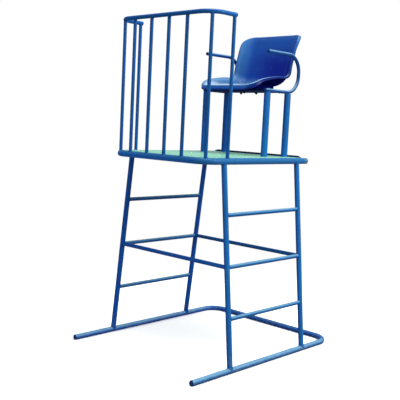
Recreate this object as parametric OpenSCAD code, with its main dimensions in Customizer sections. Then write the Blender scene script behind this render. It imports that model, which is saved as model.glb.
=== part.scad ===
// Raised referee chair for a net game: a welded tube frame with ladder sides,
// a guarded platform and a moulded bucket seat on a stand with two arm loops.
// Millimetres. The floor is z = 0, the sitter faces -Y, x = 0 is the middle.

/* [Base and ladders] */
// Distance between the centre lines of the two runners
base_w = 1044; // [980:2:1100]
// Length of the base over its end plugs
base_l = 1332; // [1280:2:1380]
// Outside diameter of the base tube
base_d = 34; // [34:1:38]
// Bend radius of the base tube's two back corners
base_r = 110; // [90:1:140]
// Outside diameter of the four legs
leg_d = 33; // [28:1:33]
// How far the front legs stand before the middle
leg_front = 350; // [330:1:370]
// How far the back legs stand behind the middle
leg_back = 338; // [320:1:350]
// Outside diameter of the rungs and the two cross braces
rung_d = 25; // [20:1:27]
// Height of the lowest rung
rung_low = 310; // [280:1:330]
// Height from one rung to the next
rung_step = 295; // [280:1:310]

/* [Platform] */
// Height of the deck's upper face
deck_h = 1223; // [1180:1:1260]
// Distance between the centre lines of the platform's side tubes
frame_w = 788; // [760:2:820]
// How far the platform's front tube lies before the middle
frame_front = 502; // [490:1:520]
// How far the platform's side tubes reach behind the middle
frame_back = 437; // [430:1:460]
// Outside diameter of the platform tube
frame_d = 38; // [34:1:40]
// Bend radius of the platform's and the guard rail's front corners
frame_r = 100; // [90:1:115]
// Thickness of the deck sheet
deck_t = 4; // [3:0.5:5]
// Outside diameter of the four bars under the deck
bar_d = 25; // [22:1:27]
// How far the back toe bar stands above the deck
toe_rise = 8; // [4:1:12]

/* [Guard] */
// Height of the top of the guard rail
rail_h = 2034; // [1980:1:2080]
// Outside diameter of the guard rail
rail_d = 25; // [22:1:28]
// Outside diameter of the guard posts
post_d = 21; // [18:1:22]
// Distance between the four front posts
post_step = 147; // [140:1:152]
// How far the row of front posts stands off the middle, to the left if positive
post_shift = -18; // [-25:1:10]
// How far the two side posts stand before the middle
side_post = 323; // [315:1:335]

/* [Seat stand] */
// Gap between the seat's edge and an arm loop
seat_gap = 2; // [1.5:0.5:10]
// How far the front stand legs stand behind the middle
stand_front = 171; // [160:1:178]
// How far the back stand legs stand behind the middle
stand_back = 380; // [372:1:382]
// Outside diameter of the stand legs
stand_d = 42; // [38:1:44]
// Outside diameter of the arm loops
arm_d = 23; // [22:0.5:24]
// Height of the arm loops' lower run above the deck
arm_low = 415; // [400:1:430]
// Height from the lower run of an arm loop to its upper run
arm_rise = 239; // [232:1:260]
// Bend radius of the arm loops
arm_r = 110; // [95:1:114]
// How far behind the middle the arm loops' free ends lie
arm_front = 160; // [150:1:190]
// Outside diameter of the two bars that carry the seat
seat_bar_d = 21; // [18:0.5:21.5]

/* [Seat] */
// Width of the seat's back, without its rolled edge
seat_back_w = 456; // [430:2:470]
// Width of the seat's front, without its rolled edge
seat_front_w = 456; // [430:2:470]
// How far behind the middle the seat's front edge lies
seat_front = 44; // [38:1:52]
// Length of the pan from the front edge to the bend
pan_l = 322; // [316:1:330]
// Radius of the bend from the pan to the back
bend_r = 113; // [108:1:120]
// Angle from the pan to the back
bend_a = 73; // [70:1:76]
// Length of the back above the bend
back_l = 277; // [260:1:290]
// Depth of the bucket's sides beside the hips
side_h = 52; // [44:1:58]
// Depth of the back's wings
wing_h = 56; // [46:1:60]
// Thickness of the seat's skin
skin_t = 4; // [3:0.25:4.5]
// Outer radius of the rolled edge
roll_r = 6; // [5:0.5:7]
// Straight lip below the rolled edge
lip_h = 14; // [10:1:15]
// Diameter of the four round feet under the pan
foot_d = 36; // [26:1:40]
// Height of the feet, from the seat bars to the pan
foot_h = 25.5; // [20:0.5:30]
// Distance between the left and right seat bolts
bolt_w = 130; // [110:2:140]

/* [Hidden] */
$fn = 48;
// Wall of the main tubes
wall = 2;
// Wall of the rungs, posts, arm loops and seat bars
thin = 1.5;
// Gap all round a plug's shank in its tube
plug_gap = 0.3;
// Thickness of a plug's head and length of its shank
plug_t = 3;
plug_l = 16;
// Gap between the deck's edge and the middle of the platform tube
deck_edge = frame_d / 2 - 6.2;
// Gap round a stand leg in the deck
leg_gap = 0.4;
// Deck screws: shank, head, height of the head and reach below the deck's face
screw_d = 5;
screw_head = 11;
screw_cap = 3;
screw_l = 12;
screw_gap = 0.2;
// Seat bolts: shank, head, height of the head
bolt_d = 8;
bolt_head = 18;
bolt_cap = 5;
bolt_gap = 0.4;
// Gap between a bolt's shank and its nut
nut_gap = 0.1;
washer_d = 22;
washer_t = 1.5;
nut_af = 13;
nut_h = 6.5;
// Thickness of the toe bar and how far it hangs below the deck's face
toe_t = 5;
toe_drop = 32;
// Thickness of the disc that closes a stand leg
cap_t = 3;
// How far the front seat bar lies behind the front stand legs, and how far
// the back seat bar lies behind the front one
seat_bar_lead = 9;
seat_bar_step = 120;
// Where the middle deck bar lies before the middle, and the deck screws' places
mid_bar = 90;
deck_screw_x = [-340, -120, 120, 340];
// Dip of the pan at its front edge
pan_dip = 15.6;
// How far the feet reach down round the seat bars
saddle = 4;
// Depth of the bucket at the front edge and at the top edge
front_h = 11;
top_h = 46;
// Length in which the bucket's sides rise, and how far before the seat's
// front edge the rise begins
side_l = 358;
side_lead = 52;
// Length in which the hips' depth changes to the wings', above the bend
wing_l = 69;
// Length in which the wings fade below the top edge
fade_l = 136;
// Share of the half width that stays flat
flat = 0.614;
// Corner radii of the seat's outline
front_r = 83;
top_r = 74;

run_x = base_w / 2;
run_z = base_d / 2;
frame_x = frame_w / 2;
frame_z = deck_h - frame_d / 2;
rail_z = rail_h - rail_d / 2;
lean = atan((run_x - frame_x) / (frame_z - run_z));
leg_l = norm([run_x - frame_x, frame_z - run_z]);
bar_z = deck_h - deck_t - bar_d / 2;
stand_x = seat_back_w / 2 + roll_r + lip_h + seat_gap + arm_d / 2;
low_z = deck_h + arm_low;
high_z = low_z + arm_rise;
arm_y = stand_back - 6;
stand_top = low_z - arm_d / 2;
bar_top = low_z + seat_bar_d / 2;
pan_z = bar_top + foot_h + skin_t;
seat_bar_y = [stand_front + seat_bar_lead, stand_front + seat_bar_lead + seat_bar_step];
deck_bar_y = [-leg_front, -mid_bar, stand_front, stand_back];
deck_back = stand_back + stand_d / 2 + 6;
bend_l = bend_r * bend_a * PI / 180;
seat_l = pan_l + bend_l + back_l;
// The pan is level behind the place where the front feet begin
dip_l = seat_bar_y[0] - foot_d / 2 - seat_front;

// A hollow tube that stands on z = 0
module tube(d, h, w) {
    difference() {
        cylinder(d = d, h = h);
        translate([0, 0, -1]) cylinder(d = d - 2 * w, h = h + 2);
    }
}

// A quarter bend of tube, from the +X side of its centre to the +Y side
module bend(r, d, w) {
    rotate_extrude(angle = 90, $fn = 96) translate([r, 0]) difference() {
        circle(d = d);
        circle(d = d - 2 * w);
    }
}

// The same bend without its bore, used to cut a tube that meets it
module bend_cut(r, d) {
    rotate_extrude(angle = 90, $fn = 96) translate([r, 0]) circle(d = d);
}

// A tube bent to a U: the cross run lies on y = 0, both legs run to +Y
module u_tube(x, run, r, d, w) {
    translate([r - x, 0, 0]) rotate([0, 90, 0]) tube(d, 2 * (x - r), w);
    for (s = [-1, 1]) {
        translate([s * x, r, 0]) rotate([-90, 0, 0]) tube(d, run - r, w);
        translate([s * (x - r), r, 0])
            rotate([0, 0, s > 0 ? -90 : 180]) bend(r, d, w);
    }
}

// A plug whose slightly domed head stands on z = 0, with its shank below
module plug(d, w) {
    dome = plug_t / 2;
    ball = (d * d / 4 + dome * dome) / (2 * dome);
    translate([0, 0, -plug_l])
        cylinder(d = d - 2 * w - 2 * plug_gap, h = plug_l + plug_t / 3);
    intersection() {
        translate([0, 0, plug_t - ball]) sphere(r = ball, $fn = 96);
        cylinder(d = d, h = plug_t + 1);
    }
}

// A low round head that stands on z = 0
module dome_head(d, h) {
    ball = (d * d / 4 + h * h) / (2 * h);
    intersection() {
        translate([0, 0, h - ball]) sphere(r = ball);
        cylinder(d = d, h = h + 1);
    }
}

module base_tube() {
    color("steelblue") translate([0, base_l / 2 - base_d / 2, run_z])
        rotate([0, 0, 180])
            u_tube(run_x, base_l - base_d / 2 - plug_t, base_r, base_d, wall);
}

module base_plug() {
    color("midnightblue") for (s = [-1, 1])
        translate([s * run_x, plug_t - base_l / 2, run_z])
            rotate([90, 0, 0]) plug(base_d, wall);
}

// Stands what it holds on the runner and tips it inward as the legs lean
module on_leg(s, y) {
    translate([s * run_x, y, run_z]) rotate([0, -s * lean, 0]) children();
}

function leg_x(z) = run_x - (z - run_z) * tan(lean);

module leg(s, y) {
    difference() {
        on_leg(s, y) tube(leg_d, leg_l, wall);
        translate([s * run_x, y, run_z]) rotate([90, 0, 0])
            cylinder(d = base_d, h = 4 * leg_d, center = true);
        translate([s * frame_x, y, frame_z]) rotate([90, 0, 0])
            cylinder(d = frame_d, h = 4 * leg_d, center = true);
    }
}

module leg_front_left() { color("royalblue") leg(1, -leg_front); }
module leg_front_right() { color("royalblue") leg(-1, -leg_front); }
module leg_back_left() { color("royalblue") leg(1, leg_back); }
module leg_back_right() { color("royalblue") leg(-1, leg_back); }

// One rung between the two legs of a side, cut to the legs' round
module rung(s, z) {
    difference() {
        translate([s * leg_x(z), -leg_front, z]) rotate([-90, 0, 0])
            tube(rung_d, leg_front + leg_back, thin);
        on_leg(s, -leg_front) cylinder(d = leg_d, h = leg_l);
        on_leg(s, leg_back) cylinder(d = leg_d, h = leg_l);
    }
}

module rung_left_low() { color("dodgerblue") rung(1, rung_low); }
module rung_left_mid() { color("dodgerblue") rung(1, rung_low + rung_step); }
module rung_left_top() {
    color("dodgerblue") rung(1, rung_low + 2 * rung_step);
}
module rung_right_low() { color("dodgerblue") rung(-1, rung_low); }
module rung_right_mid() { color("dodgerblue") rung(-1, rung_low + rung_step); }
module rung_right_top() {
    color("dodgerblue") rung(-1, rung_low + 2 * rung_step);
}

// One brace across the front or the back, at the height of the middle rungs
module brace(y) {
    z = rung_low + rung_step;
    difference() {
        translate([-leg_x(z), y, z]) rotate([0, 90, 0])
            tube(rung_d, 2 * leg_x(z), thin);
        on_leg(-1, y) cylinder(d = leg_d, h = leg_l);
        on_leg(1, y) cylinder(d = leg_d, h = leg_l);
    }
}

module brace_front() { color("deepskyblue") brace(-leg_front); }
module brace_back() { color("deepskyblue") brace(leg_back); }

module platform_tube() {
    color("mediumblue") translate([0, -frame_front, frame_z])
        u_tube(frame_x, frame_front + frame_back, frame_r, frame_d, wall);
}

module platform_plug() {
    color("slategray") for (s = [-1, 1])
        translate([s * frame_x, frame_back, frame_z])
            rotate([-90, 0, 0]) plug(frame_d, wall);
}

// The platform's side tubes as solid rods, to cut what is welded to them
module side_rods() {
    for (s = [-1, 1]) translate([s * frame_x, frame_r - frame_front, frame_z])
        rotate([-90, 0, 0])
            cylinder(d = frame_d, h = frame_front + frame_back - frame_r);
}

module deck_bar(y) {
    difference() {
        translate([-frame_x, y, bar_z]) rotate([0, 90, 0])
            tube(bar_d, frame_w, wall);
        side_rods();
        for (x = deck_screw_x) translate([x, y, bar_z])
            cylinder(d = screw_d + 2 * screw_gap, h = bar_d);
    }
}

module deck_bar_front() { color("navy") deck_bar(deck_bar_y[0]); }
module deck_bar_middle() { color("navy") deck_bar(deck_bar_y[1]); }
module deck_bar_seat() { color("navy") deck_bar(deck_bar_y[2]); }
module deck_bar_back() { color("navy") deck_bar(deck_bar_y[3]); }

// The deck lies on the four bars, inside the bent platform tube
module deck_sheet() {
    x = frame_x - deck_edge;
    r = frame_r - deck_edge;
    y = deck_edge - frame_front;
    color("mediumaquamarine") difference() {
        union() {
            translate([-x, y + r, deck_h - deck_t])
                cube([2 * x, deck_back - y - r, deck_t]);
            translate([r - x, y, deck_h - deck_t])
                cube([2 * (x - r), r + 1, deck_t]);
            for (s = [-1, 1])
                translate([s * (x - r), y + r, deck_h - deck_t])
                    cylinder(r = r, h = deck_t, $fn = 96);
        }
        for (sx = [-stand_x, stand_x], sy = [stand_front, stand_back])
            translate([sx, sy, deck_h - deck_t - 1])
                cylinder(d = stand_d + 2 * leg_gap, h = deck_t + 2);
        for (sx = deck_screw_x, sy = deck_bar_y)
            translate([sx, sy, deck_h - deck_t - 1])
                cylinder(d = screw_d + 2 * screw_gap, h = deck_t + 2);
    }
}

// A flat bar on edge along the back of the deck, welded to both side tubes
module toe_bar() {
    color("darkblue") difference() {
        translate([-frame_x + 8, deck_back, deck_h - toe_drop])
            cube([frame_w - 16, toe_t, toe_drop + toe_rise]);
        side_rods();
    }
}

module deck_screw() {
    color("silver") for (sx = deck_screw_x, sy = deck_bar_y)
        translate([sx, sy, deck_h]) {
            dome_head(screw_head, screw_cap);
            translate([0, 0, -screw_l]) cylinder(d = screw_d, h = screw_l);
        }
}

module guard_rail() {
    color("mediumblue") translate([0, -frame_front, rail_z])
        u_tube(frame_x, frame_front - side_post + rail_d / 2,
            frame_r, rail_d, thin);
}

module guard_plug() {
    color("midnightblue") for (s = [-1, 1])
        translate([s * frame_x, rail_d / 2 - side_post, rail_z])
            rotate([-90, 0, 0]) plug(rail_d, thin);
}

module post_tube() {
    tube(post_d, rail_z - frame_z, thin);
}

// A post of the front, between the straight runs of the two tubes
module front_post(x) {
    difference() {
        translate([x, -frame_front, frame_z]) post_tube();
        translate([x, -frame_front, frame_z]) rotate([0, 90, 0])
            cylinder(d = frame_d, h = 3 * post_d, center = true);
        translate([x, -frame_front, rail_z]) rotate([0, 90, 0])
            cylinder(d = rail_d, h = 3 * post_d, center = true);
    }
}

// A post half way round a corner, cut to the bends below and above it
module corner_post(s) {
    difference() {
        translate([s * (frame_x - frame_r), frame_r - frame_front, frame_z])
            rotate([0, 0, -90 + s * 45]) translate([frame_r, 0, 0])
                post_tube();
        translate([s * (frame_x - frame_r), frame_r - frame_front, frame_z])
            rotate([0, 0, s > 0 ? -90 : 180]) bend_cut(frame_r, frame_d);
        translate([s * (frame_x - frame_r), frame_r - frame_front, rail_z])
            rotate([0, 0, s > 0 ? -90 : 180]) bend_cut(frame_r, rail_d);
    }
}

// A post under the end of the guard rail
module side_post_tube(s) {
    difference() {
        translate([s * frame_x, -side_post, frame_z]) post_tube();
        translate([s * frame_x, -side_post, frame_z]) rotate([90, 0, 0])
            cylinder(d = frame_d, h = 3 * post_d, center = true);
        translate([s * frame_x, -side_post, rail_z]) rotate([90, 0, 0])
            cylinder(d = rail_d, h = 3 * post_d, center = true);
    }
}

module post_front_1() { color("dodgerblue") front_post(post_shift - 1.5 * post_step); }
module post_front_2() { color("dodgerblue") front_post(post_shift - 0.5 * post_step); }
module post_front_3() { color("dodgerblue") front_post(post_shift + 0.5 * post_step); }
module post_front_4() { color("dodgerblue") front_post(post_shift + 1.5 * post_step); }
module post_corner_left() { color("deepskyblue") corner_post(1); }
module post_corner_right() { color("deepskyblue") corner_post(-1); }
module post_side_left() { color("dodgerblue") side_post_tube(1); }
module post_side_right() { color("dodgerblue") side_post_tube(-1); }

// A stand leg goes through the deck to the bar and is closed by a disc
module stand_leg(s, y) {
    foot = deck_h - deck_t;
    translate([s * stand_x, y, 0]) difference() {
        translate([0, 0, foot]) cylinder(d = stand_d, h = stand_top - foot);
        translate([0, 0, foot - 1])
            cylinder(d = stand_d - 2 * wall, h = stand_top - foot - cap_t + 1);
    }
}

module stand_leg_front_left() { color("royalblue") stand_leg(1, stand_front); }
module stand_leg_front_right() {
    color("royalblue") stand_leg(-1, stand_front);
}
module stand_leg_back_left() { color("royalblue") stand_leg(1, stand_back); }
module stand_leg_back_right() { color("royalblue") stand_leg(-1, stand_back); }

// One tube: back along the two stand legs, up, and forward to the free end
module arm_loop(s) {
    start = stand_front - stand_d / 2;
    translate([s * stand_x, 0, 0]) {
        translate([0, start, low_z]) rotate([-90, 0, 0])
            tube(arm_d, arm_y - start, thin);
        translate([0, arm_y, low_z + arm_r]) rotate([90, 0, 90])
            rotate([0, 0, -90]) bend(arm_r, arm_d, thin);
        translate([0, arm_y + arm_r, low_z + arm_r])
            tube(arm_d, arm_rise - 2 * arm_r, thin);
        translate([0, arm_y, high_z - arm_r]) rotate([90, 0, 90])
            bend(arm_r, arm_d, thin);
        translate([0, arm_front, high_z]) rotate([-90, 0, 0])
            tube(arm_d, arm_y - arm_front, thin);
    }
}

module arm_loop_left() { color("mediumblue") arm_loop(1); }
module arm_loop_right() { color("mediumblue") arm_loop(-1); }

module arm_plug() {
    color("midnightblue") for (s = [-1, 1]) {
        translate([s * stand_x, arm_front, high_z]) rotate([90, 0, 0])
            plug(arm_d, thin);
        translate([s * stand_x, stand_front - stand_d / 2, low_z])
            rotate([90, 0, 0]) plug(arm_d, thin);
    }
}

// A bar between the lower runs of the arm loops, drilled for two seat bolts
module seat_bar(y) {
    difference() {
        translate([-stand_x, y, low_z]) rotate([0, 90, 0])
            tube(seat_bar_d, 2 * stand_x, thin);
        for (s = [-1, 1]) {
            translate([s * stand_x, y, low_z]) rotate([90, 0, 0])
                cylinder(d = arm_d, h = 3 * arm_d, center = true);
            translate([s * bolt_w / 2, y, low_z]) cylinder(
                d = bolt_d + 2 * bolt_gap, h = 2 * seat_bar_d, center = true);
        }
    }
}

module seat_bar_front() { color("navy") seat_bar(seat_bar_y[0]); }
module seat_bar_back() { color("navy") seat_bar(seat_bar_y[1]); }

// The bucket is one skin laid over a grid of s, from side to side, and a,
// the length from the front edge back along the pan and up the back.
function smooth(x) = let (c = max(0, min(1, x))) c * c * (3 - 2 * c);
function unit(v) = v / norm(v);

// Angle that the skin has turned up at length a
function turned(a) = max(0, min(bend_a, (a - pan_l) / bend_r * 180 / PI));

// The skin's middle line as y and z
function middle(a) = let (t = turned(a), e = max(0, a - pan_l - bend_l)) [
    seat_front + min(a, pan_l) + bend_r * sin(t) + e * cos(bend_a),
    pan_z + bend_r * (1 - cos(t)) + e * sin(bend_a)
        - pan_dip * smooth(1 - a / dip_l)];

// How deep the bucket is at its edges
function hip(a) =
    front_h + (side_h - front_h) * smooth((a + side_lead) / side_l);
function to_wing(a) =
    smooth((a - pan_l - 0.6 * bend_l) / (0.4 * bend_l + wing_l));
function to_top(a) = smooth((a - seat_l + fade_l) / fade_l);
function depth(a) = let (m = hip(a) + (wing_h - hip(a)) * to_wing(a))
    m + (top_h - m) * to_top(a);

// Half of the width
function half(a) = seat_front_w / 2
    + (seat_back_w - seat_front_w) / 2 * smooth(a / (0.75 * seat_l));

// A point of the upper face, and the direction square to it
function skin(s, a) = let (
        m = middle(a),
        t = turned(a),
        q = pow(max(0, (abs(s) - flat) / (1 - flat)), 2) * depth(a)
    ) [half(a) * s, m[0] - sin(t) * q, m[1] + cos(t) * q];
function square_to(s, a) = unit(cross(
    skin(s + 0.0025, a) - skin(s - 0.0025, a),
    skin(s, a + 0.5) - skin(s, a - 0.5)));

// The outline in s and a: straight runs with round corners
function corner(cs, ca, rs, ra, from) = [for (k = [0 : 6])
    [cs + rs * cos(from + 15 * k), ca + ra * sin(from + 15 * k)]];
fs = 2 * front_r / seat_front_w;
ts = 2 * top_r / seat_back_w;
side_n = 26;
side_a = seat_l - top_r - front_r;
outline = concat(
    corner(1 - fs, front_r, fs, front_r, -90),
    [for (k = [1 : side_n - 1]) [1, front_r + side_a * k / side_n]],
    corner(1 - ts, seat_l - top_r, ts, top_r, 0),
    [for (k = [1 : 7]) [(1 - ts) * (1 - k / 4), seat_l]],
    corner(ts - 1, seat_l - top_r, ts, top_r, 90),
    [for (k = [1 : side_n - 1]) [-1, seat_l - top_r - side_a * k / side_n]],
    corner(fs - 1, front_r, fs, front_r, 180),
    [for (k = [1 : 7]) [(fs - 1) * (1 - k / 4), 0]]);
n = len(outline);

// The outline drawn in to the share f of its size, on the skin; one of the
// shares meets the line where the pan begins to dip
hub = [0, seat_l / 2];
shares = [0.15, 0.3, 0.45, 0.58, 1 - 2 * dip_l / seat_l, 0.8, 0.88, 0.94, 1];
function shrunk(p, f) = hub + (p - hub) * f;
function on_skin(p) = skin(p[0], p[1]);
function under_skin(p) = skin(p[0], p[1]) - skin_t * square_to(p[0], p[1]);
edge = [for (p = outline) on_skin(p)];
up = [for (p = outline) square_to(p[0], p[1])];
out = [for (k = [0 : n - 1]) unit(cross(
    edge[(k + 1) % n] - edge[(k + n - 1) % n], up[k]))];

// A ring of the rolled edge: o outward and d down from the edge
function ring(o, d) = [for (k = [0 : n - 1]) edge[k] + o * out[k] - d * up[k]];
inner_r = roll_r - skin_t;
rings = concat(
    [for (f = shares) [for (p = outline) on_skin(shrunk(p, f))]],
    [for (t = [22.5 : 22.5 : 90])
        ring(roll_r * sin(t), roll_r * (1 - cos(t)))],
    [ring(roll_r, roll_r + lip_h), ring(inner_r, roll_r + lip_h)],
    [for (t = [90, 45, 0])
        ring(inner_r * sin(t), roll_r - inner_r * cos(t))],
    [for (k = [7 : -1 : 0])
        [for (p = outline) under_skin(shrunk(p, shares[k]))]]);
m = len(rings);

module seat_skin() {
    points = concat([for (r = rings) each r],
        [on_skin(hub), under_skin(hub)]);
    faces = concat(
        [for (k = [0 : n - 1]) [m * n, (k + 1) % n, k]],
        [for (j = [0 : m - 2], k = [0 : n - 1])
            [j * n + k, j * n + (k + 1) % n, (j + 1) * n + (k + 1) % n]],
        [for (j = [0 : m - 2], k = [0 : n - 1])
            [j * n + k, (j + 1) * n + (k + 1) % n, (j + 1) * n + k]],
        [for (k = [0 : n - 1])
            [(m - 1) * n + k, (m - 1) * n + (k + 1) % n, m * n + 1]]);
    polyhedron(points, faces);
}

module seat_shell() {
    color("blue") difference() {
        seat_skin();
        at_bolts() translate([0, 0, pan_z - 2 * skin_t])
            cylinder(d = bolt_d + 2 * bolt_gap, h = 3 * skin_t);
    }
}

// The feet between the pan and the bars, each saddled to its bar
module seat_foot() {
    color("midnightblue") difference() {
        at_bolts() translate([0, 0, bar_top - saddle])
            cylinder(d = foot_d, h = foot_h + saddle);
        at_bolts() translate([0, 0, bar_top - saddle - 1]) cylinder(
            d = bolt_d + 2 * bolt_gap, h = foot_h + saddle + 2);
        for (y = seat_bar_y) translate([-stand_x, y, low_z])
            rotate([0, 90, 0]) cylinder(d = seat_bar_d, h = 2 * stand_x);
    }
}

// Puts what it holds at each of the four seat bolts
module at_bolts() {
    for (s = [-1, 1], y = seat_bar_y)
        translate([s * bolt_w / 2, y, 0]) children();
}

under_bar = low_z - seat_bar_d / 2;

module seat_bolt() {
    top = pan_z + washer_t;
    tip = under_bar - washer_t - nut_h - 3;
    color("silver") at_bolts() {
        translate([0, 0, top]) dome_head(bolt_head, bolt_cap);
        translate([0, 0, tip]) cylinder(d = bolt_d, h = top - tip);
    }
}

module washer() {
    difference() {
        cylinder(d = washer_d, h = washer_t);
        translate([0, 0, -1])
            cylinder(d = bolt_d + 2 * bolt_gap, h = washer_t + 2);
    }
}

module seat_washer() {
    color("lightgray") at_bolts() {
        translate([0, 0, pan_z]) washer();
        translate([0, 0, under_bar - washer_t]) washer();
    }
}

module seat_nut() {
    color("silver") at_bolts()
        translate([0, 0, under_bar - washer_t - nut_h]) difference() {
            cylinder(d = nut_af / cos(30), h = nut_h, $fn = 6);
            translate([0, 0, -1])
                cylinder(d = bolt_d + 2 * nut_gap, h = nut_h + 2);
        }
}

base_tube();
base_plug();
leg_front_left();
leg_front_right();
leg_back_left();
leg_back_right();
rung_left_low();
rung_left_mid();
rung_left_top();
rung_right_low();
rung_right_mid();
rung_right_top();
brace_front();
brace_back();
platform_tube();
platform_plug();
deck_bar_front();
deck_bar_middle();
deck_bar_seat();
deck_bar_back();
deck_sheet();
toe_bar();
deck_screw();
guard_rail();
guard_plug();
post_front_1();
post_front_2();
post_front_3();
post_front_4();
post_corner_left();
post_corner_right();
post_side_left();
post_side_right();
stand_leg_front_left();
stand_leg_front_right();
stand_leg_back_left();
stand_leg_back_right();
arm_loop_left();
arm_loop_right();
arm_plug();
seat_bar_front();
seat_bar_back();
seat_shell();
seat_foot();
seat_bolt();
seat_washer();
seat_nut();
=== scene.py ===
# Raised referee chair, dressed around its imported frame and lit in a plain
# white studio. Metres throughout; the frame's own axes are used as they are.
import math

import bmesh
import bpy
import numpy as np
from mathutils import Matrix, Vector


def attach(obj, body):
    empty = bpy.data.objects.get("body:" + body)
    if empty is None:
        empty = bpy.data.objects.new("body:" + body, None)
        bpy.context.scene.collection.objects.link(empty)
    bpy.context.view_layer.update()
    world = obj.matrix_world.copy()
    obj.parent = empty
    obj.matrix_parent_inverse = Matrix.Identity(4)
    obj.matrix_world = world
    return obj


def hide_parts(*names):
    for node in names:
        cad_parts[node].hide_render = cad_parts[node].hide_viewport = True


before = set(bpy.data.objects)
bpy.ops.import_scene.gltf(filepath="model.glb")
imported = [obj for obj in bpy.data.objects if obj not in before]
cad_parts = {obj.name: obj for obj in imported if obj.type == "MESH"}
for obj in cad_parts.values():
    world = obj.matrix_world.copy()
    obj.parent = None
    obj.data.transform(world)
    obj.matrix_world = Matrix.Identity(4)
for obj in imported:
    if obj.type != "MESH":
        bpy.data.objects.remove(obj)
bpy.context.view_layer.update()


# The camera. It stands to the sitter's left and in front of the chair, a
# little above the deck, dips six degrees and leans almost three.
EYE = Vector((3.09334, -3.37274, 1.41030))
TURN, DIP, LEAN = (math.radians(a) for a in (43.5313, 6.08002, 2.79605))
PHOTO_SIDE, FOCUS = 400, 716.468

ahead = Vector((-math.sin(TURN) * math.cos(DIP), math.cos(TURN) * math.cos(DIP),
                -math.sin(DIP)))
level = Vector((math.cos(TURN), math.sin(TURN), 0))
upward = level.cross(ahead)
side = math.cos(LEAN) * level + math.sin(LEAN) * upward
top = math.cos(LEAN) * upward - math.sin(LEAN) * level
lens = bpy.data.cameras.new("camera")
lens.sensor_width = 36
lens.lens = FOCUS / PHOTO_SIDE * lens.sensor_width
lens.clip_end = 200
camera = bpy.data.objects.new("camera", lens)
camera.matrix_world = Matrix((side, top, -ahead)).transposed().to_4x4()
camera.location = EYE
bpy.context.collection.objects.link(camera)
bpy.context.scene.camera = camera
bpy.context.scene.view_settings.view_transform = "Standard"


# The studio: a white floor that keeps the chair's soft shadow and fades to the
# white of the backdrop, one large soft lamp high on the camera's right, one
# overhead and a weak one before the chair. Two classes build the node trees.
class Wire:
    """A node's output that takes part in Python arithmetic."""

    def __init__(self, net, socket):
        self.net, self.socket = net, socket

    def out(self, name):
        return Wire(self.net, self.socket.node.outputs[name])

    def math(self, operation, first, second):
        return self.net.add("ShaderNodeMath", {"operation": operation}, {0: first, 1: second})

    def __add__(self, other):
        return self.math("ADD", self, other)

    def __rsub__(self, other):
        return self.math("SUBTRACT", other, self)

    def __mul__(self, other):
        return self.math("MULTIPLY", self, other)

    def __truediv__(self, other):
        return self.math("DIVIDE", self, other)

    def __pow__(self, other):
        return self.math("POWER", self, other)

    __radd__, __rmul__ = __add__, __mul__


class Net:
    """A node tree that grows by one call for each node."""

    def __init__(self, tree):
        self.tree = tree

    def add(self, kind, settings=None, sockets=None, out=0):
        node = self.tree.nodes.new(kind)
        for name, value in (settings or {}).items():
            setattr(node, name, value)
        for name, value in (sockets or {}).items():
            self.put(node.inputs[name], value)
        return Wire(self, node.outputs[out]) if node.outputs else node

    def put(self, socket, value):
        if isinstance(value, Wire):
            self.tree.links.new(value.socket, socket)
        elif socket.type == "RGBA" and len(value) == 3:
            socket.default_value = (*value, 1)
        else:
            socket.default_value = value

    def band(self, value, low, high):
        """0 below low, 1 above high, smooth between."""
        return self.add("ShaderNodeMapRange", {"interpolation_type": "SMOOTHSTEP"},
                        {"Value": value, "From Min": low, "From Max": high})

    def mix(self, share, first, second):
        """Colours mixed by share."""
        return self.add("ShaderNodeMix", {"data_type": "RGBA"}, {0: share, 6: first, 7: second}, 2)

    def noise(self, where, scale, detail=2.0, rough=0.5):
        return self.add("ShaderNodeTexNoise", {},
                        {"Vector": where, "Scale": scale, "Detail": detail, "Roughness": rough})

    def parts(self, vector):
        """A vector taken apart, read with .out("X") and so on."""
        return self.add("ShaderNodeSeparateXYZ", {}, {0: vector})

    def bump(self, height, size):
        """A normal bumped by a height from 0 to 1 that stands for size in metres."""
        return self.add("ShaderNodeBump", {},
                        {"Strength": 1.0, "Distance": size, "Height": height})


def is_seen(net):
    """1 for rays that should meet plain white: those of the camera."""
    return net.add("ShaderNodeLightPath").out("Is Camera Ray")


BACKDROP, AMBIENT = 1.0, 0.35
world = bpy.data.worlds.new("studio")
world.use_nodes = True
world.node_tree.nodes.clear()
net = Net(world.node_tree)
seen = is_seen(net)
air = net.add("ShaderNodeBackground", {},
              {"Color": (1.0, 1.0, 1.0), "Strength": AMBIENT + seen * (BACKDROP - AMBIENT)})
net.add("ShaderNodeOutputWorld", {}, {"Surface": air})
bpy.context.scene.world = world


def hand_over(made, name):
    """A finished bmesh as a mesh."""
    mesh = bpy.data.meshes.new(name)
    made.to_mesh(mesh)
    made.free()
    return mesh


FLOOR_RADIUS, FADE_START, FADE_END = 40.0, 1.2, 3.2
FLOOR_WHITE, FLOOR_SHOWN = 0.32, 1.65
disc = bmesh.new()
bmesh.ops.create_circle(disc, cap_ends=True, radius=FLOOR_RADIUS, segments=96)
floor_mesh = hand_over(disc, "floor")
floor = bpy.data.objects.new("floor", floor_mesh)
bpy.context.collection.objects.link(floor)
floor_white = bpy.data.materials.new("floor white")
floor_white.use_nodes = True
floor_white.node_tree.nodes.clear()
net = Net(floor_white.node_tree)
where = net.add("ShaderNodeTexCoord").out("Object")
reach = net.add("ShaderNodeVectorMath", {"operation": "LENGTH"}, {0: where}, "Value")
shown = is_seen(net) * (FLOOR_SHOWN - FLOOR_WHITE) + FLOOR_WHITE
matt = net.add("ShaderNodeBsdfDiffuse", {}, {
    "Color": net.add("ShaderNodeCombineColor", {}, {0: shown, 1: shown, 2: shown})})
glow = net.add("ShaderNodeEmission", {}, {"Color": (1.0, 1.0, 1.0), "Strength": 1.0})
away = net.band(reach, FADE_START, FADE_END) * is_seen(net)
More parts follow.
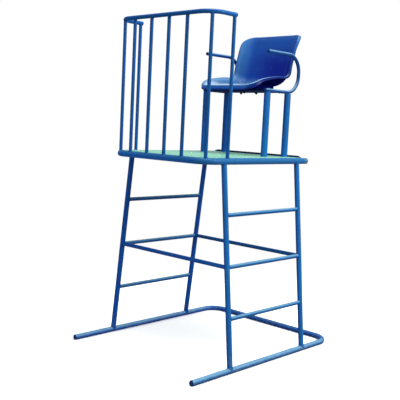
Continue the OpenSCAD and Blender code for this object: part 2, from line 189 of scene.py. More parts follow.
surface = net.add("ShaderNodeMixShader", {}, {0: away, 1: matt, 2: glow})
net.add("ShaderNodeOutputMaterial", {}, {"Surface": surface})
floor_mesh.materials.append(floor_white)

LAMP_AIM = Vector((0, 0, 1.1))
LAMPS = {  # place, size and power of each soft lamp; all of them face the aim
    "lamp_right": ((3.8, 1.2, 3.6), 2.6, 160),
    "lamp_top": ((0.6, -0.3, 5.2), 2.6, 130),
    "lamp_front": ((0.2, -5.5, 1.8), 3.0, 30),
}
for name, (spot, size, power) in LAMPS.items():
    lamp = bpy.data.lights.new(name, "AREA")
    lamp.size, lamp.energy = size, power
    holder = bpy.data.objects.new(name, lamp)
    holder.location = spot
    gaze = LAMP_AIM - holder.location
    holder.rotation_euler = gaze.to_track_quat("-Z", "Y").to_euler()
    bpy.context.collection.objects.link(holder)


# The base. One steel tube, 34 mm across, bent to a U that lies on the floor
# and stays open in front; it is sprayed with the chair's blue enamel, and a
# dark plastic plug closes each free end.
def finish(name):
    """A new material, its net and the point of the piece that it colours."""
    material = bpy.data.materials.new(name)
    material.use_nodes = True
    material.node_tree.nodes.clear()
    net = Net(material.node_tree)
    return material, net, net.add("ShaderNodeTexCoord").out("Object")


def close(net, sockets, bump):
    """Ends a material in one shader; bump is a height and its size in metres."""
    sockets["Normal"] = net.bump(*bump)
    shader = net.add("ShaderNodeBsdfPrincipled", {}, sockets)
    net.add("ShaderNodeOutputMaterial", {}, {"Surface": shader})


def enamel(name, shade, lit_colour, gloss, top_light=0.0, top_light_colour=(0.190, 0.430, 0.620), low=0.0,
           rear=None):
    """Sprayed enamel with painted light: faces that look toward +X and the right-hand lamp, on the
    +X half of the chair, take the lit colour, and a painted top light can tone the upper faces.

    low is where the painted top light starts, as the normal's Z; rear is where, in Y, the handled
    ends of a tube turn grey."""
    material, net, where = finish(name)
    facing = net.parts(net.add("ShaderNodeTexCoord").out("Normal"))
    spot = net.parts(where)
    drift = net.band(net.noise(where, 2.3, 3), 0.35, 0.65)
    patch = net.band(net.noise(where, 14, 4, 0.6), 0.55, 0.75)
    peel = net.noise(where, 330, 1) * 0.75 + net.noise(where, 60, 2) * 0.25
    # Painted light and shade: faces toward +X and the right-hand lamp take the lit colour, more
    # teal, the others the shade colour, more saturated blue.
    lit_side = net.band(facing.out("X"), -0.3, 0.55) * net.band(spot.out("X"), -0.6, 0.4)
    tone = net.mix(lit_side, shade, lit_colour)
    tone = net.mix(drift * 0.16, tone, (0.001, 0.020, 0.100))
    tone = net.mix(patch * 0.10, tone, (0.030, 0.300, 0.650))
    near_floor = 1 - net.band(spot.out("Z"), 0.0, 0.16)
    dust = near_floor * net.band(net.noise(where, 38, 5, 0.65), 0.46, 0.7)
    tone = net.mix(dust * 0.35, tone, (0.30, 0.31, 0.32))
    # Painted light: the upper faces of the tubes are toned toward the top-light colour for the
    # light from above. This is a painted sheen on most tubes and a duller upper face on the
    # platform tube. It is weaker on the base's far back run, which lies in shade, and made uneven
    # by noise.
    if top_light:
        top_light_not_behind = 1 - net.band(spot.out("Y"), 0.50, 0.62) * 0.8  # less at the far back
        lit_tops = net.band(facing.out("Z"), low, 0.8) * top_light_not_behind
        uneven = net.band(net.noise(where, 19, 4, 0.6), 0.3, 0.7)
        tone = net.mix(lit_tops * (top_light * 0.8 + uneven * (top_light * 0.2)), tone, top_light_colour)
    if rear:
        ends = net.band(spot.out("Y"), rear, rear + 0.003)
        tone = net.mix(ends * 0.9, tone, (0.090, 0.205, 0.280))
    close(net, {"Base Color": tone, "Roughness": gloss + patch * 0.1 + dust * 0.25,
                "IOR": 1.5, "Specular IOR Level": 0.16}, (peel, 0.00012))
    return material


# The six enamels below are one blue paint toned part by part for the light that falls on each, so
# their differences are painted light and shade. The legs, the front brace, the base and the
# platform tube are painted bluer and brighter, and the arm loops darker, than frame_blue.
frame_blue = enamel("frame blue enamel", (0.004, 0.103, 0.390), (0.006, 0.115, 0.390), 0.36)
leg_blue = enamel("leg blue enamel", (0.003, 0.092, 0.490), (0.012, 0.165, 0.510), 0.36)
edge_blue = enamel("platform blue enamel", (0.003, 0.145, 0.640), (0.016, 0.155, 0.430), 0.36,
                   top_light=0.8, top_light_colour=(0.022, 0.135, 0.310), low=-0.2, rear=0.404)
top_lit_blue = enamel("rung blue enamel, painted top light", (0.004, 0.110, 0.420), (0.006, 0.120, 0.390), 0.40,
                   top_light=0.85)
base_blue = enamel("base blue enamel, painted top light", (0.003, 0.092, 0.500), (0.006, 0.125, 0.400), 0.40,
                   top_light=0.92, top_light_colour=(0.200, 0.440, 0.660), low=-0.25)
arm_blue = enamel("arm blue enamel", (0.002, 0.048, 0.260), (0.006, 0.068, 0.270), 0.40,
                  top_light=0.85, top_light_colour=(0.240, 0.440, 0.580))


def new_tree(name, **sizes):
    """A Geometry Nodes tree with one named input for each size."""
    tree = bpy.data.node_groups.new(name, "GeometryNodeTree")
    face = tree.interface
    face.new_socket("Geometry", in_out="INPUT", socket_type="NodeSocketGeometry")
    for label, kind in sizes.items():
        face.new_socket(label, in_out="INPUT", socket_type="NodeSocket" + kind)
    face.new_socket("Material", in_out="INPUT", socket_type="NodeSocketMaterial")
    face.new_socket("Geometry", in_out="OUTPUT", socket_type="NodeSocketGeometry")
    net = Net(tree)
    given = tree.nodes.new("NodeGroupInput")
    return net, {s.name: Wire(net, s) for s in given.outputs if s.name}


def end_tree(net, geometry, material):
    """Every tree ends in plain, smooth, coloured faces."""
    plain = net.add("GeometryNodeRealizeInstances", {}, {"Geometry": geometry})
    smooth = net.add("GeometryNodeSetShadeSmooth", {}, {"Geometry": plain})
    coloured = net.add("GeometryNodeSetMaterial", {}, {"Geometry": smooth, "Material": material})
    result = net.tree.nodes.new("NodeGroupOutput")
    net.tree.links.new(coloured.socket, result.inputs[0])
    return net.tree


SHARP_ANGLE = math.radians(38)


def baked(piece):
    """The piece's mesh with its modifiers worked in."""
    bpy.context.view_layer.update()
    graph = bpy.context.evaluated_depsgraph_get()
    return bpy.data.meshes.new_from_object(piece.evaluated_get(graph), depsgraph=graph)


def grow(name, seed_mesh, tree, **values):
    """Runs a tree on a small mesh and keeps what it makes as a plain piece."""
    piece = bpy.data.objects.new(name, seed_mesh)
    bpy.context.collection.objects.link(piece)
    modifier = piece.modifiers.new("tree", "NODES")
    modifier.node_group = tree
    for item in tree.interface.items_tree:
        if item.in_out == "INPUT" and item.name in values:
            modifier[item.identifier] = values[item.name]
    made = baked(piece)
    piece.modifiers.clear()
    piece.data = made
    made.name = name
    bpy.data.meshes.remove(seed_mesh)
    made.set_sharp_from_angle(angle=SHARP_ANGLE)
    return piece


def chain_mesh(chains, closed):
    """A mesh of bare edges, one chain of points after the other."""
    points, edges = [], []
    for chain in chains:
        first, count = len(points), len(chain)
        points += [tuple(p) for p in chain]
        edges += [(first + k, first + k + 1) for k in range(count - 1)]
        if closed:
            edges.append((first + count - 1, first))
    mesh = bpy.data.meshes.new("chains")
    mesh.from_pydata(points, edges, [])
    return mesh


BEND_STEPS = 22
net, given = new_tree("bent tube", Diameter="Float", Bend="Float", Around="Int")
line = net.add("GeometryNodeMeshToCurve", {}, {0: given["Geometry"]})
line = net.add("GeometryNodeFilletCurve", {"mode": "POLY"}, {
    "Curve": line, "Count": BEND_STEPS, "Radius": given["Bend"]})
ring = net.add("GeometryNodeCurvePrimitiveCircle", {}, {
    "Resolution": given["Around"], "Radius": given["Diameter"] / 2})
tube = net.add("GeometryNodeCurveToMesh", {}, {
    "Curve": line, "Profile Curve": ring, "Fill Caps": True})
bent_tube = end_tree(net, tube, given["Material"])


def ride(piece, slot, *nodes):
    """The piece rides the chair's one body and stands for these CAD nodes."""
    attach(piece, "root")
    if nodes:
        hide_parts(*nodes)


def bend(name, corners, diameter, radius, around, paint):
    """A piece bent from one tube, with an arc of this radius at each inner corner."""
    piece = grow(name, chain_mesh([corners], False), bent_tube, Diameter=diameter,
                 Bend=radius, Around=around, Material=paint)
    ride(piece, "frame_paint", name)


BASE_X, BASE_D, BASE_Z, BASE_FRONT, BASE_BACK = 0.522, 0.034, 0.017, -0.663, 0.649
BASE_BEND, WALL, THIN_WALL = 0.110, 0.002, 0.0015
bend("base_tube", [(-BASE_X, BASE_FRONT, BASE_Z), (-BASE_X, BASE_BACK, BASE_Z),
                   (BASE_X, BASE_BACK, BASE_Z), (BASE_X, BASE_FRONT, BASE_Z)],
     BASE_D, BASE_BEND, 44, base_blue)


def link(name, mesh, material=None):
    """Puts a mesh into the scene as an object, with its faces smooth."""
    mesh.name = name
    mesh.shade_smooth()
    mesh.set_sharp_from_angle(angle=SHARP_ANGLE)
    if material:
        mesh.materials.clear()
        mesh.materials.append(material)
    piece = bpy.data.objects.new(name, mesh)
    bpy.context.collection.objects.link(piece)
    return piece


def lathe(profile, steps):
    """A closed turned mesh from radius and height pairs, first and last on the axis."""
    made = bmesh.new()
    foot, *rim, crown = profile
    low = made.verts.new((0, 0, foot[1]))
    high = made.verts.new((0, 0, crown[1]))
    turns = [2 * math.pi * k / steps for k in range(steps)]
    rings = [[made.verts.new((r * math.cos(t), r * math.sin(t), z)) for t in turns]
             for r, z in rim]
    for k in range(steps):
        after = (k + 1) % steps
        made.faces.new((low, rings[0][after], rings[0][k]))
        made.faces.new((high, rings[-1][k], rings[-1][after]))
        for under, over in zip(rings, rings[1:]):
            made.faces.new((under[k], under[after], over[after], over[k]))
    return hand_over(made, "turned")


net, given = new_tree("set in place", Part="Object", Turn="Float", Seed="Int")
part = net.add("GeometryNodeObjectInfo", {}, {"Object": given["Part"]}).out("Geometry")
facing = net.add("GeometryNodeInputNamedAttribute", {"data_type": "FLOAT_VECTOR"},
                 {"Name": "facing"})
stand = net.add("FunctionNodeAlignRotationToVector", {"axis": "Z"}, {"Vector": facing})
chance = net.add("FunctionNodeRandomValue", {"data_type": "FLOAT"}, {"Seed": given["Seed"]}, 1)
spin = net.add("ShaderNodeCombineXYZ", {}, {"Z": given["Turn"] * chance})
spin = net.add("FunctionNodeEulerToRotation", {}, {0: spin})
stand = net.add("FunctionNodeRotateRotation", {"rotation_space": "LOCAL"}, {0: stand, 1: spin})
placed = net.add("GeometryNodeInstanceOnPoints", {}, {
    "Points": given["Geometry"], "Instance": part, "Rotation": stand})
set_in_place = end_tree(net, placed, given["Material"])


def place(name, mesh, spots, material, turn=0.0, seed=1):
    """Copies of a part at these spots, each a point and the way it faces."""
    part = link("part", mesh)
    seed_mesh = bpy.data.meshes.new("spots")
    seed_mesh.from_pydata([tuple(p) for p, _ in spots], [], [])
    facing = seed_mesh.attributes.new("facing", "FLOAT_VECTOR", "POINT")
    facing.data.foreach_set("vector", [c for _, way in spots for c in way])
    piece = grow(name, seed_mesh, set_in_place, Part=part, Turn=turn, Seed=seed, Material=material)
    bpy.data.objects.remove(part)
    return piece


def plug_mesh(outer, wall):
    """A tube plug: ribbed shank below z = 0, rolled rim and domed face above."""
    inner, head, length = outer - wall, 0.003, 0.016
    shank = [(0, -length), (inner - 0.0008, -length), (inner - 0.0003, 0.0015 - length)]
    for z in (-0.0120, -0.0085, -0.0050):
        shank += [(inner - 0.0009, z - 0.0012), (inner - 0.0001, z), (inner - 0.0009, z + 0.0012)]
    face = [(inner - 0.0004, 0.0), (outer, 0.0), (outer, head * 0.45),
            (outer - 0.0004, head * 0.66), (outer - 0.0013, head * 0.84),
            (outer * 0.80, head * 0.90), (outer * 0.72, head * 0.84),
            (outer * 0.60, head * 0.87), (outer * 0.32, head * 0.97), (0, head)]
    return lathe(shank + face, steps=40)


def moulded(name, colour, pale):
    """Moulded plastic with a fine grain and rubbed high spots."""
    material, net, where = finish(name)
    grain = net.noise(where, 900, 2)
    rub = net.band(net.noise(where, 45, 4, 0.6), 0.5, 0.72)
    close(net, {"Base Color": net.mix(rub * 0.6, colour, pale), "Roughness": 0.42 + rub * 0.14,
                "Specular IOR Level": 0.15}, (grain, 0.00008))
    return material


dark_plug = moulded("dark plug plastic", (0.003, 0.050, 0.210), (0.010, 0.085, 0.290))
spots = [((x, BASE_FRONT, BASE_Z), (0, -1, 0)) for x in (-BASE_X, BASE_X)]
ride(place("base_plugs", plug_mesh(BASE_D / 2, WALL), spots, dark_plug),
     "plug_dark", "base_plug")


# The ladder sides. Four straight 33 mm legs lean in from the runners to the
# platform; three 25 mm rungs a side and two cross braces are cut to their
# round, welded all the way round and sprayed with them.
def dress(material, *names):
    """A CAD part whose shape is right keeps it and gets its finish."""
    for name in names:
        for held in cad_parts[name].material_slots:
            held.material = material


PLATFORM_X, PLATFORM_Z, PLATFORM_R, LEG_R, RUNG_R = 0.394, 1.204, 0.019, 0.0165, 0.0125
LEG_FRONT, LEG_BACK, RUNG_HEIGHTS = -0.350, 0.338, (0.310, 0.605, 0.900)
sides = {"left": 1, "right": -1}
dress(leg_blue, *(f"leg_{end}_{s}" for end in ("front", "back") for s in sides), "brace_front")
dress(frame_blue, "brace_back")
dress(top_lit_blue, *(f"rung_{s}_{step}" for s in sides for step in ("low", "mid", "top")))


def rod(start, end, radius):
    """How far points lie outside a straight round tube."""
    start, end = np.array(start, float), np.array(end, float)
    along = (end - start) / np.linalg.norm(end - start)
    return lambda p: np.linalg.norm(np.cross(p - start, along), axis=-1) - radius


def run(x, z, radius):
    """A straight tube that runs from front to back at this x and z."""
    return rod((x, -1, z), (x, 1, z), radius)


def elbow(centre, bend_radius, radius):
    """How far points lie outside a tube bent flat round a centre."""
    def gap(p):
        out = np.hypot(p[..., 0] - centre[0], p[..., 1] - centre[1]) - bend_radius
        return np.hypot(out, p[..., 2] - centre[2]) - radius
    return gap


SEAM_STEPS, SEAM_NEAR, SEAM_FAR, HALVINGS = 40, -0.01, 0.06, 30


def seam(start, away, radius, gap):
    """The closed line where a tube that starts inside another comes out of it."""
    start, away = np.array(start, float), np.array(away, float)
    away /= np.linalg.norm(away)
    across = np.cross(away, (0.31, 0.17, 0.93))
    across /= np.linalg.norm(across)
    turns = np.linspace(0, 2 * np.pi, SEAM_STEPS, endpoint=False)[:, None]
    wall = start + radius * (np.cos(turns) * across + np.sin(turns) * np.cross(away, across))
    low, high = np.full_like(turns, SEAM_NEAR), np.full_like(turns, SEAM_FAR)
    for _ in range(HALVINGS):
        middle = (low + high) / 2
        inside = gap(wall + middle * away)[:, None] < 0
        low, high = np.where(inside, middle, low), np.where(inside, high, middle)
    return wall + high * away


RIPPLE_STEPS, SEED_SHIFT = 5, 1.7
net, given = new_tree("weld bead", Width="Float", Ripple="Float", Seed="Int")
line = net.add("GeometryNodeMeshToCurve", {}, {0: given["Geometry"]})
line = net.add("GeometryNodeResampleCurve", {"mode": "LENGTH"}, {
    "Curve": line, "Length": given["Ripple"] / RIPPLE_STEPS})
length = net.add("GeometryNodeSplineParameter").out("Length")
swell = net.add("ShaderNodeMath", {"operation": "SINE"}, {0: length / given["Ripple"] * math.pi})
swell = net.add("ShaderNodeMath", {"operation": "ABSOLUTE"}, {0: swell}) ** 0.6
spot = net.add("GeometryNodeInputPosition")
shift = net.add("ShaderNodeVectorMath", {"operation": "ADD"}, {
    0: spot, 1: given["Seed"] * SEED_SHIFT})
uneven = net.noise(shift, 85, 2)
girth = given["Width"] / 2 * (0.68 + swell * 0.24 + uneven * 0.16)
ring = net.add("GeometryNodeCurvePrimitiveCircle", {}, {"Resolution": 8, "Radius": 1.0})
bead = net.add("GeometryNodeCurveToMesh", {}, {
    "Curve": line, "Profile Curve": ring, "Scale": girth})
weld_bead = end_tree(net, bead, given["Material"])


RIPPLE, FRAME_BEAD, GUARD_BEAD, STAND_BEAD = 0.0034, 0.0062, 0.0050, 0.0054


def weld(name, seams, width, seed):
    """Beads of this width along closed seams, sprayed with the frame."""
    ride(grow(name, chain_mesh(seams, True), weld_bead, Width=width, Ripple=RIPPLE,
              Seed=seed, Material=frame_blue), "frame_paint")


def leg_x(z):
    """How far out a leg's middle line is at a height."""
    return BASE_X + (PLATFORM_X - BASE_X) * (z - BASE_Z) / (PLATFORM_Z - BASE_Z)


seams = []
for s in (-1, 1):
    runner = run(s * BASE_X, BASE_Z, BASE_D / 2)
    edge_tube = run(s * PLATFORM_X, PLATFORM_Z, PLATFORM_R)
    for y in (LEG_FRONT, LEG_BACK):
        foot, head = (s * BASE_X, y, BASE_Z), (s * PLATFORM_X, y, PLATFORM_Z)
        rise = (s * (PLATFORM_X - BASE_X), 0, PLATFORM_Z - BASE_Z)
        leg = rod(foot, head, LEG_R)
        seams.append(seam(foot, rise, LEG_R, runner))
        seams.append(seam(head, [-c for c in rise], LEG_R, edge_tube))
        inward = 1 if y < 0 else -1
        for z in RUNG_HEIGHTS:
            seams.append(seam((s * leg_x(z), y, z), (0, inward, 0), RUNG_R, leg))
        z = RUNG_HEIGHTS[1]
        seams.append(seam((s * leg_x(z), y, z), (-s, 0, 0), RUNG_R, leg))
weld("ladder_welds", seams, FRAME_BEAD, 2)


# The platform. A 38 mm tube bent round the front and the sides carries four
# cross bars; the green sheet lies on them inside the tube, held by pan head
# screws, and a flat toe bar closes its back edge.
PLATFORM_FRONT, PLATFORM_BACK, PLATFORM_BEND = -0.502, 0.437, 0.100
bend("platform_tube",
     [(-PLATFORM_X, PLATFORM_BACK, PLATFORM_Z), (-PLATFORM_X, PLATFORM_FRONT, PLATFORM_Z),
      (PLATFORM_X, PLATFORM_FRONT, PLATFORM_Z), (PLATFORM_X, PLATFORM_BACK, PLATFORM_Z)],
     2 * PLATFORM_R, PLATFORM_BEND, 56, edge_blue)
grey_plug = moulded("grey blue plug plastic", (0.055, 0.150, 0.220), (0.100, 0.240, 0.320))
spots = [((x, PLATFORM_BACK, PLATFORM_Z), (0, 1, 0)) for x in (-PLATFORM_X, PLATFORM_X)]
ride(place("platform_plugs", plug_mesh(PLATFORM_R, WALL), spots, grey_plug),
     "plug_grey", "platform_plug")

BAR_R, DECK_TOP, DECK_T = 0.0125, 1.223, 0.004
BAR_Z, BAR_Y = DECK_TOP - DECK_T - BAR_R, (-0.350, -0.090, 0.171, 0.380)
dress(frame_blue, "deck_bar_front", "deck_bar_middle", "deck_bar_seat", "deck_bar_back")
seams = []
for s in (-1, 1):
    edge_tube = run(s * PLATFORM_X, PLATFORM_Z, PLATFORM_R)
    for y in BAR_Y:
        seams.append(seam((s * PLATFORM_X, y, BAR_Z), (-s, 0, 0), BAR_R, edge_tube))
weld("platform_welds", seams, FRAME_BEAD, 3)

deck_green, net, where = finish("deck green enamel")
drift = net.band(net.noise(where, 3.1, 3), 0.35, 0.65)
scuff = net.band(net.noise(where, 21, 5, 0.65), 0.56, 0.72)
tone = net.mix(drift, (0.228, 0.630, 0.455), (0.268, 0.685, 0.505))
tone = net.mix(scuff * 0.35, tone, (0.36, 0.73, 0.60))
close(net, {"Base Color": tone, "Roughness": 0.42 + scuff * 0.15, "Coat Weight": 0.15,
            "Coat Roughness": 0.2}, (net.noise(where, 260, 2), 0.00015))
dress(deck_green, "deck_sheet")

TOE_Y, TOE_T, TOE_LOW, TOE_HIGH, TOE_X = 0.407, 0.005, 1.191, 1.235, 0.386
TOE_CLIP, TOE_SHOULDER, TOE_ROUND = 0.034, DECK_TOP - 0.002, 0.0008
# The toe bar's face lies in shade: its enamel is painted near black, a painted shade.
toe_shade_blue = enamel("toe bar blue, painted shade", (0.001, 0.012, 0.105), (0.001, 0.012, 0.105), 0.45)
toe = bmesh.new()
right_end = [(TOE_X, TOE_LOW), (TOE_X, TOE_SHOULDER), (TOE_X - TOE_CLIP, TOE_HIGH)]
left_end = [(-x, z) for x, z in right_end[::-1]]
face = toe.faces.new([toe.verts.new((x, TOE_Y, z)) for x, z in right_end + left_end])
grown = bmesh.ops.extrude_face_region(toe, geom=[face])["geom"]
far_face = [v for v in grown if isinstance(v, bmesh.types.BMVert)]
bmesh.ops.translate(toe, vec=(0, TOE_T, 0), verts=far_face)
bmesh.ops.recalc_face_normals(toe, faces=toe.faces)
bmesh.ops.bevel(toe, geom=toe.edges, offset=TOE_ROUND, segments=3, affect="EDGES")
ride(link("toe_bar", hand_over(toe, "toe_bar"), toe_shade_blue), "frame_paint", "toe_bar")


def cut(mesh, cutter):
    """The mesh less the cutter, both given as meshes in one place."""
    whole, tool = link("whole", mesh), link("tool", cutter)
    step = whole.modifiers.new("cut", "BOOLEAN")
    step.object, step.solver = tool, "EXACT"
    made = baked(whole)
    bpy.data.objects.remove(whole)
    bpy.data.objects.remove(tool)
    return made


def prism(outline, top_z, foot_z, taper):
    """A tapered prism over an outline, wide at the top."""
    made = bmesh.new()
    high = [made.verts.new((x, y, top_z)) for x, y in outline]
    low = [made.verts.new((x * taper, y * taper, foot_z)) for x, y in outline]
    made.faces.new(high)
    made.faces.new(low[::-1])
    for k in range(len(outline)):
        after = (k + 1) % len(outline)
        made.faces.new((low[k], low[after], high[after], high[k]))
    return hand_over(made, "prism")


def screw_mesh(head, cap, shank, length, recess):
    """A round headed fastener above z = 0 with its shank below, recess cut in."""
    ball = (head * head / 4 + cap * cap) / (2 * cap)
    sweep = math.asin(head / 2 / ball)
    dome = [(ball * math.sin(sweep * k / 8), cap - ball + ball * math.cos(sweep * k / 8))
            for k in range(8, 0, -1)]
    body = lathe([(0, -length), (shank * 0.40, -length), (shank / 2, -length + shank * 0.12),
                  (shank / 2, 0), (head / 2 - 0.0003, 0), *dome, (0, cap)], steps=36)
    return cut(body, recess)


plated, net, where = finish("zinc plating")
blotch = net.band(net.noise(where, 120, 4, 0.6), 0.35, 0.7)
close(net, {"Base Color": net.mix(blotch, (0.56, 0.57, 0.58), (0.70, 0.71, 0.70)),
            "Metallic": 1.0, "Roughness": 0.30 + blotch * 0.16},
      (net.noise(where, 1500, 2), 0.00003))

SCREW_X = (-0.340, -0.120, 0.120, 0.340)
arm, half = 0.0027, 0.0006
cross = [(half, half), (half, arm), (-half, arm), (-half, half), (-arm, half), (-arm, -half),
         (-half, -half), (-half, -arm), (half, -arm), (half, -half), (arm, -half), (arm, half)]
recess = prism(cross, top_z=0.0040, foot_z=0.0009, taper=0.6)
spots = [((x, y, DECK_TOP), (0, 0, 1)) for x in SCREW_X for y in BAR_Y]
screw = screw_mesh(head=0.011, cap=0.003, shank=0.005, length=0.012, recess=recess)
ride(place("deck_screws", screw, spots, plated, 2 * math.pi, 5), "zinc", "deck_screw")


# The guard. A 25 mm rail bent like the platform tube stands on eight 21 mm
# posts, cut to both tubes and welded: four in front, one half way round each
# corner and one under each free end.
RAIL_Z, RAIL_R, RAIL_END, POST_R, SIDE_POST_Y = 2.0215, 0.0125, -0.3105, 0.0105, -0.323
POST_X = (-0.2385, -0.0915, 0.0555, 0.2025)
bend("guard_rail", [(-PLATFORM_X, RAIL_END, RAIL_Z), (-PLATFORM_X, PLATFORM_FRONT, RAIL_Z),
                    (PLATFORM_X, PLATFORM_FRONT, RAIL_Z), (PLATFORM_X, RAIL_END, RAIL_Z)],
     2 * RAIL_R, PLATFORM_BEND, 40, frame_blue)
spots = [((x, RAIL_END, RAIL_Z), (0, 1, 0)) for x in (-PLATFORM_X, PLATFORM_X)]
ride(place("guard_plugs", plug_mesh(RAIL_R, THIN_WALL), spots, dark_plug),
     "plug_dark", "guard_plug")
dress(frame_blue, *(f"post_front_{k}" for k in (1, 2, 3, 4)),
      *(f"post_{spot}_{s}" for spot in ("corner", "side") for s in sides))

seams = []
for z, radius, way in ((PLATFORM_Z, PLATFORM_R, 1), (RAIL_Z, RAIL_R, -1)):
    front = rod((-1, PLATFORM_FRONT, z), (1, PLATFORM_FRONT, z), radius)
    for x in POST_X:
        seams.append(seam((x, PLATFORM_FRONT, z), (0, 0, way), POST_R, front))
    for s in (-1, 1):
        centre = (s * (PLATFORM_X - PLATFORM_BEND), PLATFORM_FRONT + PLATFORM_BEND, z)
        offset = PLATFORM_BEND * math.sin(math.radians(45))
        seams.append(seam((centre[0] + s * offset, centre[1] - offset, z), (0, 0, way), POST_R,
                          elbow(centre, PLATFORM_BEND, radius)))
        edge_tube = run(s * PLATFORM_X, z, radius)
        seams.append(seam((s * PLATFORM_X, SIDE_POST_Y, z), (0, 0, way), POST_R, edge_tube))
weld("guard_welds", seams, GUARD_BEAD, 4)


# The seat stand. Four 42 mm legs stand on the deck bars and carry two 23 mm
# arm loops, each bent from one tube; two 21 mm bars between the loops' lower
# runs hold the seat.
STAND_X, STAND_R, STAND_Y = 0.2615, 0.021, (0.171, 0.380)
SEAT_BAR_R, SEAT_BAR_Y = 0.0105, (0.180, 0.300)
ARM_R, ARM_BEND, ARM_LOW, ARM_HIGH = 0.0115, 0.110, 1.638, 1.877
ARM_START, ARM_BACK, ARM_FRONT = 0.150, 0.484, 0.160
CAP_HALF_X, CAP_HALF_Y, CAP_SHIFT, CAP_RISE = 0.0075, 0.014, 0.003, 0.0012  # bead on a leg's top
bar_blue = enamel("shaded blue enamel", (0.001, 0.008, 0.115), (0.001, 0.008, 0.115), 0.45)
dress(leg_blue, *(f"stand_leg_{end}_{s}" for end in ("front", "back") for s in sides))
dress(bar_blue, "seat_bar_front", "seat_bar_back")
spots, seams = [], []
turns = np.linspace(0, 2 * np.pi, SEAM_STEPS, endpoint=False)
for name, s in sides.items():
    x = s * STAND_X
    bend(f"arm_loop_{name}", [(x, ARM_START, ARM_LOW), (x, ARM_BACK, ARM_LOW),
                              (x, ARM_BACK, ARM_HIGH), (x, ARM_FRONT, ARM_HIGH)],
         2 * ARM_R, ARM_BEND, 36, arm_blue)
    spots += [((x, ARM_FRONT, ARM_HIGH), (0, -1, 0)), ((x, ARM_START, ARM_LOW), (0, -1, 0))]
    low_run = run(x, ARM_LOW, ARM_R)
    for y in STAND_Y:
        seams.append(np.stack([x + STAND_R * np.cos(turns), y + STAND_R * np.sin(turns),
                               np.full_like(turns, DECK_TOP)], 1))
        cap_y = y - CAP_SHIFT * (y == STAND_Y[1])
        seams.append(np.stack([x + CAP_HALF_X * np.cos(turns), cap_y + CAP_HALF_Y * np.sin(turns),
                               np.full_like(turns, ARM_LOW - ARM_R + CAP_RISE)], 1))
    for y in SEAT_BAR_Y:
        seams.append(seam((x, y, ARM_LOW), (-s, 0, 0), SEAT_BAR_R, low_run))
ride(place("arm_plugs", plug_mesh(ARM_R, THIN_WALL), spots, dark_plug),
     "plug_dark", "arm_plug")
weld("seat_stand_welds", seams, STAND_BEAD, 6)


# The seat. One skin of blue plastic, 4 mm thick, moulded to a bucket: a flat
# pan that dips at its front edge and turns up into the back, sides that grow
# into wings and an edge that rolls outward into a lip. It stands on four feet.
PAN_FRONT, PAN_Z, PAN_L, PAN_DIP, DIP_L = 0.044, 1.678, 0.322, 0.0156, 0.118
CURVE_R, CURVE_A, BACK_L = 0.113, math.radians(73), 0.277
CURVE_L = CURVE_R * CURVE_A
SEAT_L = PAN_L + CURVE_L + BACK_L
HALF, HALF_TOP, SPREAD_START, SPREAD_L, FLAT = 0.228, 0.233, 0.590, 0.100, 0.614
FRONT_H, SIDE_H, WING_H, TOP_H = 0.011, 0.055, 0.064, 0.051  # how far the sides stand up
SIDE_L, SIDE_LEAD, WING_START, WING_L, FADE_L = 0.358, 0.052, 0.6, 0.069, 0.136
FRONT_R, TOP_R, SKIN_T, ROLL_R = 0.083, 0.074, 0.004, 0.006
LIP_H, FRONT_LIP_H, FRONT_LIP_END, FRONT_LIP_FADE = 0.014, 0.011, 0.02, 0.12


def smooth(x):
    """0 to 1 without a corner at either end."""
    x = np.clip(x, 0, 1)
    return x * x * (3 - 2 * x)


def skin(s, a):
    """The sitter's face of the seat; s runs from side to side, a from front to top."""
    turned = np.clip((a - PAN_L) / CURVE_R, 0, CURVE_A)
    above = np.maximum(a - PAN_L - CURVE_L, 0)
    y = PAN_FRONT + np.minimum(a, PAN_L) + CURVE_R * np.sin(turned) + above * math.cos(CURVE_A)
    z = (PAN_Z + CURVE_R * (1 - np.cos(turned)) + above * math.sin(CURVE_A)
         - PAN_DIP * smooth(1 - a / DIP_L))
    hips = FRONT_H + (SIDE_H - FRONT_H) * smooth((a + SIDE_LEAD) / SIDE_L)
    wing = smooth((a - PAN_L - WING_START * CURVE_L) / ((1 - WING_START) * CURVE_L + WING_L))
    depth = hips + (WING_H - hips) * wing
    depth = depth + (TOP_H - depth) * smooth((a - SEAT_L + FADE_L) / FADE_L)
    lift = np.maximum(0, (np.abs(s) - FLAT) / (1 - FLAT)) ** 2 * depth
    half = HALF + (HALF_TOP - HALF) * smooth((a - SPREAD_START) / SPREAD_L)
    return np.stack([half * s, y - np.sin(turned) * lift, z + np.cos(turned) * lift], -1)


def unit(v):
    """The same way, one long."""
    return v / np.linalg.norm(v, axis=-1, keepdims=True)


def square_to(s, a, ds=0.0025, da=0.0005):
    """The skin's own normal, toward the sitter."""
    return unit(np.cross(skin(s + ds, a) - skin(s - ds, a), skin(s, a + da) - skin(s, a - da)))


CORNER_STEPS, SIDE_STEPS, END_STEPS = 18, 90, 30
outline = []
for s, a, rs, ra, start in (
        (1 - FRONT_R / HALF, FRONT_R, FRONT_R / HALF, FRONT_R, -90),
        (1 - TOP_R / HALF, SEAT_L - TOP_R, TOP_R / HALF, TOP_R, 0),
        (TOP_R / HALF - 1, SEAT_L - TOP_R, TOP_R / HALF, TOP_R, 90),
        (FRONT_R / HALF - 1, FRONT_R, FRONT_R / HALF, FRONT_R, 180)):
    corner = [math.radians(start + 90 * k / CORNER_STEPS) for k in range(CORNER_STEPS + 1)]
    outline.append([(s + rs * math.cos(t), a + ra * math.sin(t)) for t in corner])
loop = []
for k, steps in enumerate((SIDE_STEPS, END_STEPS, SIDE_STEPS, END_STEPS)):
    here, there = np.array(outline[k][-1]), np.array(outline[(k + 1) % 4][0])
    loop += outline[k] + [tuple(here + (there - here) * n / steps) for n in range(1, steps)]
loop = np.array(loop)
hub = np.array((0, SEAT_L / 2))
